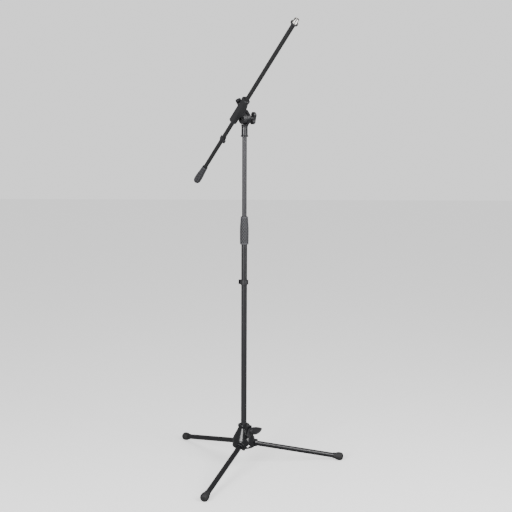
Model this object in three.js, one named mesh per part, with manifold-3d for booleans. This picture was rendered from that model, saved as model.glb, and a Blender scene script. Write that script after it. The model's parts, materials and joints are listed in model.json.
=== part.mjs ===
// Boom microphone stand: a folding base with three legs, a two-part column with a twist
// clutch, and a boom that slides, tilts and is clamped in a head at the top of the column.
// Units are millimetres, +Z is up. While it is built, the column's axis is x = y = 0 and the
// floor is z = 0; the finished stand is then moved so that its footprint is centred on the origin.
import * as THREE from 'three';
import { mergeVertices } from 'three/addons/utils/BufferGeometryUtils.js';
import Module from 'manifold-3d';

const wasm = await Module();
wasm.setup();

// ---------------------------------------------------------------- driving dimensions

const GAP = 0.3; // kept between pieces that touch

const BASE_ANGLE = 8.9; // azimuth of the first leg, degrees
const LEG_COUNT = 3;
const LEG_TILT = 12.25; // fall of an open leg, degrees below level
const LEG_RADIUS = 8.7;
const LEG_WALL = 1.2;
const LEG_PIVOT_OUT = 27; // from the column's axis to the hinge pin
const LEG_PIVOT_HEIGHT = 83.3;
const LEG_REACH = 341; // from the hinge pin to the tip of the foot
const LEG_TUBE_END = 333;
const KNUCKLE_RADIUS = 8.4; // about the hinge pin
const LEG_PIN_RADIUS = 3;
const LEG_PIN_HALF = 12.6;
const FOOT_RADIUS = 14.4;

const HUB_BOTTOM = 72;
const HUB_TOP = 152;
const HUB_SKIRT_RADIUS = 40;
const HUB_COLLAR_RADIUS = 20.5;
const HUB_LINER_RADIUS = 12.1;
const CHEEK_HALF = 12.7; // outside of the two cheeks that carry a hinge pin
const SLOT_HALF = 9.2;
const ARCH_RADIUS = 14.5; // raised housing round a leg's root

const HUB_CLAMP_ANGLE = -60; // from the first leg, midway between two legs
const HUB_CLAMP_HEIGHT = 135;
const HUB_BOSS_REACH = 32;
const HUB_BOSS_HALF = 10;
const WING_ROLL = 11;
const WING_SPLAY = 55; // between the screw's axis and each wing

const LOWER_RADIUS = 10;
const LOWER_WALL = 1.2;
const LOWER_FROM = 64;
const LOWER_TO = 812;
const UPPER_RADIUS = 8;
const UPPER_WALL = 1;
const UPPER_FROM = 446;
const UPPER_TO = 1186;

const COLUMN_CLIP_HEIGHT = 650;
const COLUMN_CLIP_LENGTH = 16;
const COLUMN_CLIP_ANGLE = 160;

const GRIP_FROM = 790;
const GRIP_TO = 885;
const CLUTCH_THREAD = 11;
const NUT_RADIUS = 12.6;
const NUT_NECK = 10.7;

const HEAD_LIP = 1155;
const TILT_HEIGHT = 1216.7; // the axis on which the boom tilts
const TILT_ANGLE = 31.9; // azimuth of that axis, pointing to its knob
const TILT_DISC_RADIUS = 19;
const YOKE_FACE = 1.9; // along the tilt axis from the column's axis
const YOKE_BACK = 13.5;
const TILT_KNOB_FROM = 15.5;
const TILT_KNOB_RISE = 12; // the tilt knob has a longer stem than the clamp knob
const TILT_KNOB_TURN = 16.6;
const KNOB_STEM = 1.5; // from a knob's underside to its lobes
const KNOB_HEIGHT = 14;
const KNOB_INSERT_TO = 10.5;

const BOOM_OFFSET = 36.5; // the boom passes beside the column's axis
const BOOM_ELEVATION = 40.7;
const BOOM_RADIUS = 7;
const BOOM_WALL = 1;
const BOOM_FROM = -349;
const BOOM_TO = 446;
const SLEEVE_FROM = -19;
const SLEEVE_TO = 94;
const SLEEVE_HALF = 10;
const SLEEVE_BELOW = 9;
const SLEEVE_ABOVE = 15;
const HOLDER_DISC_FROM = 23.5; // along the tilt axis from the boom's axis
const BOLT_HEAD_FROM = 26;
const BOLT_HEAD_TO = 31.2;
const CLAMP_PLACE = 54; // of the clamp screw, along the boom
const CLAMP_KNOB_FROM = SLEEVE_ABOVE + 0.6;
const CLAMP_KNOB_TURN = -40;
const BOOM_CLIP_PLACE = -113;
const BOOM_CLIP_LENGTH = 14;
const REAR_GRIP_FROM = -355;
const REAR_GRIP_TO = -268;
const LOCK_RING_RADIUS = 12.4;
const ADAPTER_RADIUS = 7.94; // 5/8 inch thread
const FLANGE_RADIUS = 9.8; // of the adapter, under a microphone clip
const FLANGE_TO = BOOM_TO + 8.2;
const STUD_RADIUS = 4.65; // 3/8 inch thread
const ADAPTER_TIP = 468;

const SCREW_RADIUS = 4; // M8 clamp screws and pivot bolt
const HOLE_RADIUS = SCREW_RADIUS + GAP;
const INSERT_RADIUS = 6;

// ---------------------------------------------------------------- materials

const finish = (color, roughness, metalness) =>
  new THREE.MeshStandardMaterial({ color, roughness, metalness });

const glossBlack = finish(0x17181a, 0.22, 0);
const satinBlack = finish(0x202124, 0.5, 0);
const nylon = finish(0x2b2c2e, 0.55, 0);
const rubber = finish(0x2a2b2d, 0.8, 0);
const blackPaint = finish(0x1c1d20, 0.32, 0.2);
const greyPaint = finish(0x55565c, 0.4, 0.4);
const steel = finish(0x9a9a9c, 0.35, 1);
const brightSteel = finish(0xc8c6c0, 0.25, 1);
const brass = finish(0xb08d4a, 0.4, 1);

// ---------------------------------------------------------------- solids

const X = new THREE.Vector3(1, 0, 0);
const Y = new THREE.Vector3(0, 1, 0);
const Z = new THREE.Vector3(0, 0, 1);

function toSolid(geometry) {
  const bare = new THREE.BufferGeometry();
  const flat = geometry.index ? geometry.toNonIndexed() : geometry;
  bare.setAttribute('position', flat.getAttribute('position'));
  const merged = mergeVertices(bare, 1e-4);
  return new wasm.Manifold(new wasm.Mesh({
    numProp: 3,
    vertProperties: merged.getAttribute('position').array,
    triVerts: new Uint32Array(merged.index.array),
  }));
}

function toGeometry(solid) {
  const { vertProperties, triVerts } = solid.getMesh();
  const geometry = new THREE.BufferGeometry();
  geometry.setAttribute('position', new THREE.BufferAttribute(vertProperties, 3));
  geometry.setIndex(new THREE.BufferAttribute(triVerts, 1));
  geometry.computeVertexNormals();
  return geometry;
}

const join = (...parts) => toGeometry(parts.map(toSolid).reduce((a, b) => a.add(b)));
const cut = (body, ...tools) =>
  toGeometry(tools.map(toSolid).reduce((a, b) => a.subtract(b), toSolid(body)));
const common = (a, b) => toGeometry(toSolid(a).intersect(toSolid(b)));

// A solid of revolution about Z. The profile is a list of [z, r], and closes on itself or on the axis.
function revolve(profile, segments = 24) {
  const points = profile.map(([z, r]) => new THREE.Vector2(r, z));
  const onAxis = points[0].x === 0 && points.at(-1).x === 0;
  if (!onAxis) points.push(points[0].clone());
  if (THREE.ShapeUtils.area(points) < 0) points.reverse();
  return new THREE.LatheGeometry(points, segments).rotateX(Math.PI / 2);
}

const ring = (outer, inner, from, to, segments) =>
  revolve([[from, inner], [from, outer], [to, outer], [to, inner]], segments);
const rod = (radius, from, to, segments) =>
  revolve([[from, 0], [from, radius], [to, radius], [to, 0]], segments);

const box = (x0, x1, y0, y1, z0, z1) =>
  new THREE.BoxGeometry(x1 - x0, y1 - y0, z1 - z0)
    .translate((x0 + x1) / 2, (y0 + y1) / 2, (z0 + z1) / 2);

// Turn a solid made along Z to lie along X or Y, or by an angle about Z.
const alongX = (geometry) => geometry.applyMatrix4(new THREE.Matrix4().makeBasis(Y, Z, X));
const alongY = (geometry) => geometry.applyMatrix4(new THREE.Matrix4().makeBasis(Z, X, Y));
const turned = (geometry, degrees) => geometry.rotateZ(THREE.MathUtils.degToRad(degrees));

// A plate of the given outline, from one height to another, with its edges rounded by bevel.
function plate(shape, from, to, bevel = 0, curveSegments = 10) {
  return new THREE.ExtrudeGeometry(shape, {
    depth: to - from - 2 * bevel,
    bevelEnabled: bevel > 0,
    bevelSize: bevel,
    bevelThickness: bevel,
    bevelOffset: -bevel,
    bevelSegments: 2,
    curveSegments,
  }).translate(0, 0, from + bevel);
}

// The same plate standing across X: the outline's x and y become y and z.
const plateAcrossX = (...options) => alongX(plate(...options));

function outline(points) {
  return new THREE.Shape(points.map(([x, y]) => new THREE.Vector2(x, y)));
}

function roundedRect(x0, x1, y0, y1, radius) {
  const shape = new THREE.Shape();
  shape.absarc(x1 - radius, y1 - radius, radius, 0, Math.PI / 2);
  shape.absarc(x0 + radius, y1 - radius, radius, Math.PI / 2, Math.PI);
  shape.absarc(x0 + radius, y0 + radius, radius, Math.PI, 1.5 * Math.PI);
  shape.absarc(x1 - radius, y0 + radius, radius, 1.5 * Math.PI, 2 * Math.PI);
  return shape;
}

// A round-topped doorway outline, whose straight sides reach down to depth.
function doorway(radius, depth) {
  const shape = new THREE.Shape();
  shape.moveTo(-radius, -depth);
  shape.lineTo(radius, -depth);
  shape.absarc(0, 0, radius, 0, Math.PI);
  return shape;
}

// ---------------------------------------------------------------- scene

const stand = new THREE.Group();

function add(group, name, geometry, material) {
  const mesh = new THREE.Mesh(geometry, material);
  mesh.name = name;
  group.add(mesh);
}

function frame(parent, position, ...turns) {
  const group = new THREE.Group();
  group.position.set(...position);
  for (const [axis, degrees] of turns) group.rotateOnAxis(axis, THREE.MathUtils.degToRad(degrees));
  parent.add(group);
  return group;
}

const base = frame(stand, [0, 0, 0], [Z, BASE_ANGLE]);
const legAngles = Array.from({ length: LEG_COUNT }, (_, i) => (i * 360) / LEG_COUNT);

// A solid made in a leg's frame, moved to the base's frame: x runs out along the open leg.
function atLeg(geometry, angle) {
  return turned(
    geometry
      .rotateY(THREE.MathUtils.degToRad(LEG_TILT))
      .translate(LEG_PIVOT_OUT, 0, LEG_PIVOT_HEIGHT),
    angle,
  );
}

// A solid made about the hub's clamp screw, which lies along x, moved to the base's frame.
const atHubClamp = (geometry) => turned(geometry.translate(0, 0, HUB_CLAMP_HEIGHT), HUB_CLAMP_ANGLE);

// ---------------------------------------------------------------- base hub

function hubHousing() {
  const cone = revolve([
    [HUB_BOTTOM, 0], [HUB_BOTTOM, HUB_SKIRT_RADIUS - 0.8], [HUB_BOTTOM + 1.5, HUB_SKIRT_RADIUS],
    [95, 39.4], [101, 38.4], [106, 36.6], [139.5, 19.4], [142, 18.9], [143.5, HUB_COLLAR_RADIUS],
    [HUB_TOP - 1, HUB_COLLAR_RADIUS], [HUB_TOP, HUB_COLLAR_RADIUS - 1], [HUB_TOP, 0],
  ], 36);
  const boss = atHubClamp(plateAcrossX(
    roundedRect(-HUB_BOSS_HALF, HUB_BOSS_HALF, -17, HUB_TOP - HUB_CLAMP_HEIGHT, 2),
    4, HUB_BOSS_REACH, 0, 3));
  const arches = legAngles.map((angle) => cut(
    atLeg(plateAcrossX(doorway(ARCH_RADIUS, 20), 4, 21, 1.2, 6), angle),
    box(-100, 100, -100, 100, 0, HUB_BOTTOM),
  ));
  const body = join(cone, boss, ...arches);

  const wall = 3.2;
  const tube = HUB_LINER_RADIUS + GAP + wall;
  const cheeks = legAngles.map((angle) =>
    turned(box(10, 60, -CHEEK_HALF, CHEEK_HALF, 77, 120), angle));
  const hollow = cut(revolve([
    [0, tube], [0, HUB_SKIRT_RADIUS - wall - 0.6], [95, HUB_SKIRT_RADIUS - wall - 0.6],
    [104, 33], [107, 30], [107, tube],
  ], 36), ...cheeks);

  const slots = legAngles.map((angle) =>
    atLeg(plateAcrossX(doorway(SLOT_HALF, 60), -9.5, 60, 0, 6), angle));
  const knuckleSeats = legAngles.map((angle) =>
    atLeg(alongY(rod(KNUCKLE_RADIUS + 0.5, -SLOT_HALF, SLOT_HALF)), angle));
  const pinHole = LEG_PIN_RADIUS + GAP;
  const pinHoles = legAngles.map((angle) => atLeg(alongY(rod(pinHole, -14, 14, 14)), angle));
  const pinWindow = 5.5; // round opening in the skirt through which a pin is pressed home
  const windows = legAngles.map((angle) => atLeg(alongY(rod(pinWindow, CHEEK_HALF, 60, 18)), angle));

  return cut(
    body, hollow, ...slots, ...knuckleSeats, ...pinHoles, ...windows,
    rod(HUB_LINER_RADIUS + GAP, 0, 200),
    atHubClamp(alongX(rod(INSERT_RADIUS + 0.5 + GAP, 5, 60, 18))),
  );
}

add(base, 'hub_housing', hubHousing(), glossBlack);
add(base, 'hub_liner_bush', cut(
  ring(HUB_LINER_RADIUS, LOWER_RADIUS + GAP, 76, HUB_TOP - 0.6),
  atHubClamp(alongX(rod(INSERT_RADIUS, 5, 60, 18))),
), nylon);

const hubClamp = frame(base, [0, 0, HUB_CLAMP_HEIGHT], [Z, HUB_CLAMP_ANGLE], [X, WING_ROLL]);
add(hubClamp, 'hub_clamp_pad', alongX(rod(5.6, LOWER_RADIUS + 0.35, 16, 18)), nylon);
add(hubClamp, 'hub_clamp_insert', alongX(ring(INSERT_RADIUS + 0.5, HOLE_RADIUS, 20, 31.6, 18)), brass);
add(hubClamp, 'hub_wing_screw', alongX(rod(SCREW_RADIUS, 16 + GAP, 42.5, 14)), steel);

function hubWing() {
  const leaf = new THREE.Shape();
  leaf.moveTo(0, -11);
  leaf.bezierCurveTo(14, -19, 33, -15, 41, 3);
  leaf.bezierCurveTo(30, 11, 16, 14, 0, 12);
  const wings = [WING_SPLAY, -WING_SPLAY].map((angle) => {
    const along = X.clone().applyAxisAngle(Z, THREE.MathUtils.degToRad(angle));
    const across = along.clone().cross(Z);
    return plate(leaf, -2.8, 2.8, 1, 5)
      .applyMatrix4(new THREE.Matrix4().makeBasis(along, Z, across))
      .translate(38, 0, 0);
  });
  const core = alongX(revolve([[33.5, 0], [33.5, 8], [44, 8], [47, 5.5], [47, 0]], 18));
  return cut(join(core, ...wings), alongX(rod(HOLE_RADIUS, 30, 43, 14)));
}
add(hubClamp, 'hub_wing_handle', hubWing(), satinBlack);

// ---------------------------------------------------------------- legs

function legKnuckle() {
  const head = common(
    alongX(rod(LEG_RADIUS, -9, 9)),
    cut(
      join(alongY(rod(KNUCKLE_RADIUS, -10, 10)), box(0, 9, -10, 10, -LEG_RADIUS, LEG_RADIUS)),
      alongY(rod(LEG_PIN_RADIUS + GAP, -11, 11, 14)),
    ),
  );
  return join(head, alongX(rod(LEG_RADIUS - LEG_WALL - GAP, 8, 38)));
}

// A rubber cup over the leg's end, flat where it stands on the floor.
function foot() {
  const bore = LEG_RADIUS + GAP;
  const tip = LEG_REACH;
  const cup = alongX(revolve([
    [tip - 36, bore], [tip - 36, 10.4], [tip - 30, 10.6], [tip - 26, 11.6], [tip - 21, 13.6],
    [tip - 15, FOOT_RADIUS], [tip - 8.5, FOOT_RADIUS - 0.1], [tip - 3.5, 12.4], [tip - 0.8, 9],
    [tip, 5.5], [tip, 0], [LEG_TUBE_END + GAP, 0], [LEG_TUBE_END + GAP, bore],
  ]));
  const floor = box(-500, 500, -100, 100, -100, 0)
    .translate(0, 0, -LEG_PIVOT_HEIGHT)
    .rotateY(-THREE.MathUtils.degToRad(LEG_TILT));
  return cut(cup, floor);
}

legAngles.forEach((angle, i) => {
  const leg = frame(frame(base, [0, 0, 0], [Z, angle]),
    [LEG_PIVOT_OUT, 0, LEG_PIVOT_HEIGHT], [Y, LEG_TILT]);
  const number = i + 1;
  add(leg, `leg_pin_${number}`, alongY(rod(LEG_PIN_RADIUS, -LEG_PIN_HALF, LEG_PIN_HALF, 14)), steel);
  add(leg, `leg_knuckle_${number}`, legKnuckle(), nylon);
  add(leg, `leg_tube_${number}`,
    alongX(ring(LEG_RADIUS, LEG_RADIUS - LEG_WALL, 9 + GAP, LEG_TUBE_END)), blackPaint);
  add(leg, `foot_${number}`, foot(), rubber);
});

// ---------------------------------------------------------------- lower column

const lowerBore = LOWER_RADIUS - LOWER_WALL;

add(stand, 'lower_tube', ring(LOWER_RADIUS, lowerBore, LOWER_FROM, LOWER_TO), blackPaint);
add(stand, 'column_end_plug', revolve([
  [54.5, 0], [54.5, 3.8], [56, 5], [61.7, 5], [61.7, 10.8], [62.2, 11.5],
  [LOWER_FROM - GAP, 11.5], [LOWER_FROM - GAP, lowerBore - GAP],
  [82, lowerBore - GAP], [82, 0],
]), nylon);

// A snap-on ring round a tube, split on one side, with a hook for the cable on the other.
function cableClip(tubeRadius, from, length) {
  const inner = tubeRadius + GAP;
  const outer = inner + 2.1;
  const to = from + length;
  const hookBore = 3.2;
  const hookPlace = outer + hookBore - 0.2;
  const band = join(
    rod(outer, from, to),
    rod(hookBore + 1.7, from, to, 18).translate(hookPlace, 0, 0),
    box(-outer - 2.2, -inner + 1, -6, 6, from, to),
  );
  return cut(
    band,
    rod(inner, from - 1, to + 1),
    rod(hookBore, from - 1, to + 1, 18).translate(hookPlace, 0, 0),
    box(hookPlace - 2.2, hookPlace + 2.2, 0, 20, from - 1, to + 1),
    box(-tubeRadius - 20, 0, -4, 4, from - 1, to + 1),
  );
}

const columnClip = frame(stand, [0, 0, 0], [Z, COLUMN_CLIP_ANGLE]);
add(columnClip, 'column_cable_clip',
  cableClip(LOWER_RADIUS, COLUMN_CLIP_HEIGHT, COLUMN_CLIP_LENGTH), satinBlack);

// ---------------------------------------------------------------- twist clutch

add(stand, 'clutch_threaded_bush', revolve([
  [GRIP_FROM, UPPER_RADIUS + GAP], [GRIP_FROM, lowerBore - 0.15], [LOWER_TO + GAP, lowerBore - 0.15],
  [LOWER_TO + GAP, CLUTCH_THREAD - GAP], [842, CLUTCH_THREAD - GAP], [842, UPPER_RADIUS + GAP],
]), steel);
add(stand, 'clutch_collet', cut(
  revolve([
    [843, UPPER_RADIUS + GAP], [843, 10.6], [850, 10.6], [868, 9.5], [868, UPPER_RADIUS + GAP],
  ]),
  box(0, 20, -1, 1, 840, 870),
), nylon);
add(stand, 'clutch_nut', revolve([
  [791, LOWER_RADIUS + GAP], [791, NUT_RADIUS], [852, NUT_RADIUS], [871, NUT_NECK], [884, NUT_NECK],
  [884, UPPER_RADIUS + 0.4], [869, UPPER_RADIUS + 0.4], [869, 9.5 + GAP], [850, 10.6 + GAP],
  [844, CLUTCH_THREAD + 0.1], [LOWER_TO + GAP, CLUTCH_THREAD + 0.1],
  [LOWER_TO - 2, LOWER_RADIUS + GAP],
]), satinBlack);
add(stand, 'clutch_grip', revolve([
  [GRIP_FROM, NUT_RADIUS + GAP], [GRIP_FROM, 14.2], [GRIP_FROM + 3, 14.7], [GRIP_FROM + 22, 15],
  [GRIP_FROM + 45, 15.2], [GRIP_FROM + 62, 14.7], [GRIP_FROM + 78, 13.5], [GRIP_TO - 2, 12.5],
  [GRIP_TO, 12], [GRIP_TO, NUT_NECK + GAP], [872, NUT_NECK + GAP], [852, NUT_RADIUS + GAP],
]), rubber);

// ---------------------------------------------------------------- upper column and head

const upperBore = UPPER_RADIUS - UPPER_WALL;
const head = frame(stand, [0, 0, 0], [Z, TILT_ANGLE]);
const tilt = frame(head, [0, 0, TILT_HEIGHT]);

add(stand, 'upper_guide_bush', revolve([
  [UPPER_FROM - 10, 0], [UPPER_FROM - 10, lowerBore - GAP], [UPPER_FROM - GAP, lowerBore - GAP],
  [UPPER_FROM - GAP, upperBore - GAP], [UPPER_FROM + 20, upperBore - GAP], [UPPER_FROM + 20, 0],
]), nylon);
add(stand, 'upper_tube', ring(UPPER_RADIUS, upperBore, UPPER_FROM, UPPER_TO), greyPaint);

// A socket for the tube, growing into half of the tilt joint on the knob's side of the axis.
function headYoke() {
  const neckTop = TILT_HEIGHT - TILT_DISC_RADIUS - 1.2;
  const neck = revolve([
    [HEAD_LIP, 0], [HEAD_LIP, 12.2], [HEAD_LIP + 1, 13], [HEAD_LIP + 3.5, 13], [HEAD_LIP + 6, 10.8],
    [neckTop - 10, 10.6], [neckTop - 6, 11], [neckTop - 0.8, 12.2], [neckTop, 11.4], [neckTop, 0],
  ]);
  const radius = TILT_DISC_RADIUS + 0.5;
  const profile = new THREE.Shape();
  profile.moveTo(-10, -35);
  profile.lineTo(10, -35);
  profile.lineTo(radius * Math.cos(0.4), -radius * Math.sin(0.4));
  profile.absarc(0, 0, radius, -0.4, 0.85);
  profile.absarc(5, 20, 8, 0.5, 2.5); // the cheek is drawn up to a blunt peak
  profile.absarc(0, 0, radius, 2.25, Math.PI + 0.4);
  const flare = revolve([
    [-40, 0], [-40, 10.4], [-29, 10.4], [-22, 13], [-12, 21], [-4, 30], [40, 30], [40, 0],
  ]);
  const cheek = common(plateAcrossX(profile, YOKE_FACE, YOKE_BACK, 0.8, 14), flare)
    .translate(0, 0, TILT_HEIGHT);
  return cut(
    join(neck, cheek),
    rod(UPPER_RADIUS + GAP, HEAD_LIP - 5, UPPER_TO + GAP),
    alongX(rod(HOLE_RADIUS, -5, 20, 14)).translate(0, 0, TILT_HEIGHT),
  );
}
add(head, 'head_yoke', headYoke(), glossBlack);
add(tilt, 'tilt_friction_disc',
  alongX(ring(TILT_DISC_RADIUS - 1, HOLE_RADIUS, 0.5, YOKE_FACE - GAP, 28)), nylon);
add(tilt, 'tilt_washer', alongX(ring(9, HOLE_RADIUS, YOKE_BACK + GAP, 15.2, 20)), steel);

// A two-lobed knob made about z, its underside at z = 0, with a metal insert and a blind hole.
function tKnob(stemFrom = 0) {
  const lobe = 9.5;
  const lobePlace = 12;
  const waist = new THREE.Shape();
  waist.absarc(lobePlace, 0, lobe, -2.2, 2.2);
  waist.quadraticCurveTo(0, 7.4, -lobePlace + lobe * Math.cos(0.94), lobe * Math.sin(0.94));
  waist.absarc(-lobePlace, 0, lobe, 0.94, 2 * Math.PI - 0.94);
  waist.quadraticCurveTo(0, -7.4, lobePlace - lobe * Math.cos(0.94), -lobe * Math.sin(0.94));
  const bar = plate(waist, KNOB_STEM, KNOB_HEIGHT, 2, 6);
  const dome = alongY(rod(40, -30, 30, 48)).translate(0, 0, KNOB_HEIGHT - 40);
  const stem = revolve([
    [stemFrom, 0], [stemFrom, 8], [KNOB_STEM - 1, 7.6], [KNOB_STEM + 3, 8], [KNOB_STEM + 3, 0],
  ], 20);
  return cut(
    join(stem, common(bar, dome)),
    rod(INSERT_RADIUS + GAP, -1, KNOB_INSERT_TO + GAP, 18),
    rod(HOLE_RADIUS, stemFrom - 1, KNOB_INSERT_TO + 1, 14),
  );
}
const knobInsert = () => ring(INSERT_RADIUS, HOLE_RADIUS, 0.4, KNOB_INSERT_TO, 18);

const tiltKnob = frame(tilt, [TILT_KNOB_FROM + TILT_KNOB_RISE, 0, 0], [X, TILT_KNOB_TURN]);
const standUp = (geometry) => alongX(turned(geometry, 90));
add(tiltKnob, 'tilt_knob_handle', standUp(tKnob(-TILT_KNOB_RISE)), satinBlack);
add(tiltKnob, 'tilt_knob_insert', standUp(knobInsert()), brass);

// ---------------------------------------------------------------- boom holder

// The holder's frame: x is the tilt axis, z runs up along the boom, y is square to both.
const boomAxes = new THREE.Matrix4().makeRotationX(THREE.MathUtils.degToRad(90 - BOOM_ELEVATION));
const boomFrame = frame(tilt, [-BOOM_OFFSET, 0, 0]);
boomFrame.quaternion.setFromRotationMatrix(boomAxes);

function boomHolder() {
  const sleeve = plate(
    roundedRect(-SLEEVE_HALF, SLEEVE_HALF, -SLEEVE_BELOW, SLEEVE_ABOVE, 4),
    SLEEVE_FROM, SLEEVE_TO, 1.2, 4);
  const web = outline([
    [14, -17], [9, -17], [9, 2], [4, 9], [-8, 13], [-8, 28], [-2, 50], [4, 66], [14, 72],
  ]);
  const armTo = HOLDER_DISC_FROM - 3;
  const arm = plateAcrossX(web, 6, armTo, 1, 1);
  const disc = alongX(rod(TILT_DISC_RADIUS, HOLDER_DISC_FROM, BOOM_OFFSET + 0.2, 32));
  const bridge = common(
    plateAcrossX(web, armTo - 3, HOLDER_DISC_FROM + 2, 0, 1),
    alongX(rod(TILT_DISC_RADIUS - 0.2, armTo - 4, HOLDER_DISC_FROM + 3, 32)),
  );
  const tube = rod(BOOM_RADIUS + GAP, SLEEVE_FROM - 5, SLEEVE_TO + 5);
  const seat = alongY(rod(INSERT_RADIUS + GAP, 0, 30, 18)).translate(0, 0, CLAMP_PLACE);
  const boltHole = alongX(rod(HOLE_RADIUS, 15, BOOM_OFFSET + 10, 14));
  const headPocket = alongX(rod(8.2, 15, BOLT_HEAD_TO + GAP, 6));
  return cut(join(sleeve, arm, disc, bridge), tube, seat, boltHole, headPocket);
}
add(boomFrame, 'boom_holder', boomHolder(), satinBlack);
add(boomFrame, 'pivot_bolt', alongX(join(
  rod(7.6, BOLT_HEAD_FROM, BOLT_HEAD_TO, 6),
  rod(SCREW_RADIUS, BOLT_HEAD_TO - 0.7, BOOM_OFFSET + TILT_KNOB_FROM + TILT_KNOB_RISE + KNOB_INSERT_TO, 14),
)), steel);

const clamp = frame(boomFrame, [0, 0, CLAMP_PLACE]);
add(clamp, 'boom_clamp_pad', alongY(rod(5.6, BOOM_RADIUS + 0.35, 9.4, 18)), nylon);
add(clamp, 'boom_clamp_insert',
  alongY(ring(INSERT_RADIUS, HOLE_RADIUS, 9.8, SLEEVE_ABOVE - GAP, 18)), brass);
const clampTurn = frame(clamp, [0, 0, 0], [Y, CLAMP_KNOB_TURN - 90]);
add(clampTurn, 'boom_clamp_screw',
  alongY(rod(SCREW_RADIUS, 9.7, CLAMP_KNOB_FROM + KNOB_INSERT_TO, 14)), steel);
add(clampTurn, 'boom_clamp_knob',
  alongY(turned(tKnob(), 90)).translate(0, CLAMP_KNOB_FROM, 0), satinBlack);
add(clampTurn, 'boom_knob_insert', alongY(knobInsert()).translate(0, CLAMP_KNOB_FROM, 0), brass);

// ---------------------------------------------------------------- boom

const boomBore = BOOM_RADIUS - BOOM_WALL;

add(boomFrame, 'boom_tube', ring(BOOM_RADIUS, boomBore, BOOM_FROM, BOOM_TO), blackPaint);
add(boomFrame, 'boom_end_stud', revolve([
  [BOOM_TO - 28, 0], [BOOM_TO - 28, boomBore - GAP], [BOOM_TO - 1, boomBore - GAP],
  [BOOM_TO - 1, STUD_RADIUS], [ADAPTER_TIP - 3, STUD_RADIUS], [ADAPTER_TIP - 3, 0],
]), steel);
add(boomFrame, 'adapter_lock_ring', revolve([
  [BOOM_TO + GAP, STUD_RADIUS + GAP], [BOOM_TO + GAP, 10], [BOOM_TO + 2, LOCK_RING_RADIUS],
  [BOOM_TO + 5.5, LOCK_RING_RADIUS], [BOOM_TO + 6.3, 11.6], [BOOM_TO + 6.3, STUD_RADIUS + GAP],
]), satinBlack);
add(boomFrame, 'thread_adapter', revolve([
  [BOOM_TO + 6.6, STUD_RADIUS + GAP], [BOOM_TO + 6.6, FLANGE_RADIUS], [FLANGE_TO, FLANGE_RADIUS],
  [FLANGE_TO, ADAPTER_RADIUS], [ADAPTER_TIP - 1, ADAPTER_RADIUS], [ADAPTER_TIP, ADAPTER_RADIUS - 1],
  [ADAPTER_TIP, STUD_RADIUS + GAP],
]), brightSteel);
add(boomFrame, 'boom_rear_grip', revolve([
  [REAR_GRIP_FROM, 0], [REAR_GRIP_FROM + 0.6, 6], [REAR_GRIP_FROM + 4, 10], [REAR_GRIP_FROM + 10, 12.2],
  [REAR_GRIP_FROM + 20, 12.8], [REAR_GRIP_FROM + 40, 12.2], [REAR_GRIP_FROM + 65, 10.4],
  [REAR_GRIP_TO - 1, 9.6], [REAR_GRIP_TO, 8.8], [REAR_GRIP_TO, BOOM_RADIUS + GAP],
  [BOOM_FROM - GAP, BOOM_RADIUS + GAP], [BOOM_FROM - GAP, 0],
]), rubber);
const boomClip = frame(boomFrame, [0, 0, 0], [Z, -90]);
add(boomClip, 'boom_cable_clip',
  cableClip(BOOM_RADIUS, BOOM_CLIP_PLACE, BOOM_CLIP_LENGTH), satinBlack);

// ---------------------------------------------------------------- origin

const extent = new THREE.Box3().setFromObject(stand, true);
const centre = extent.getCenter(new THREE.Vector3());
stand.position.set(-centre.x, -centre.y, -extent.min.z);

const part = new THREE.Group();
part.add(stand);

export default part;
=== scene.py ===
"""The looks of the boom microphone stand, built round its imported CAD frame.

Lengths are millimetres in a piece's own frame; show() moves a finished piece into the stand's
frame, in metres. The frames come from the joints: the column's axis, each leg's hinge pin and the
boom's tilt axis.
"""
import json
import math

import bmesh
import bpy
from mathutils import Matrix, Vector


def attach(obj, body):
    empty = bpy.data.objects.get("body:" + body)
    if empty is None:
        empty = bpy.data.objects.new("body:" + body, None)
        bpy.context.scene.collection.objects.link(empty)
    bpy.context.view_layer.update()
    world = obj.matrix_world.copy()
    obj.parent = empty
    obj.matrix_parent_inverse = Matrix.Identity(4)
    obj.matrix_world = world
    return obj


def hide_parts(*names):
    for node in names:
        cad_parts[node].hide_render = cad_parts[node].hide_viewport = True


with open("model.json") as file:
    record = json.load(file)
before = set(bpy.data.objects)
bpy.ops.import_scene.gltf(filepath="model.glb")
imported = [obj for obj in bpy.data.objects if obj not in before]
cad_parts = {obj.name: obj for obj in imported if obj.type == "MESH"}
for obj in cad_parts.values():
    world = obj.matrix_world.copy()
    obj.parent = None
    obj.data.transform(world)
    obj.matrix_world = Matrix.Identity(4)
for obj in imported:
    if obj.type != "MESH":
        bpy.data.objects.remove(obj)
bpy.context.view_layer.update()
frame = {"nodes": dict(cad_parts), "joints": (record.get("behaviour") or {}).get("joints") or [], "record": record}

MM = 0.001
GAP = 0.3  # kept between pieces that touch

# ---------------------------------------------------------------- frames

JOINTS = {joint["name"]: joint for joint in frame["joints"]}


def placed(origin, x_axis, z_axis):
    """The matrix of a frame in metres, from its origin, its x and its z."""
    z = Vector(z_axis).normalized()
    x = (Vector(x_axis) - Vector(x_axis).project(z)).normalized()
    y = z.cross(x)
    turn = Matrix((x, y, z)).transposed().to_4x4()
    return Matrix.Translation(Vector(origin)) @ turn @ Matrix.Scale(MM, 4)


HEAD = Vector(JOINTS["boom_tilt"]["pos_m"])
COLUMN = Vector((HEAD.x, HEAD.y, 0))
UP = Vector((0, 0, 1))
TILT_AXIS = -Vector(JOINTS["boom_tilt"]["axis"])
BOOM_AXIS = Vector(JOINTS["boom_slide"]["axis"])
CLAMP_POINT = Vector(JOINTS["clamp_knob_turn"]["pos_m"])
BOOM_OFFSET = (HEAD - CLAMP_POINT).dot(TILT_AXIS) / MM  # from the column's axis to the boom's
LEG_FALL = math.radians(12.25)  # of an open leg, below level

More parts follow.
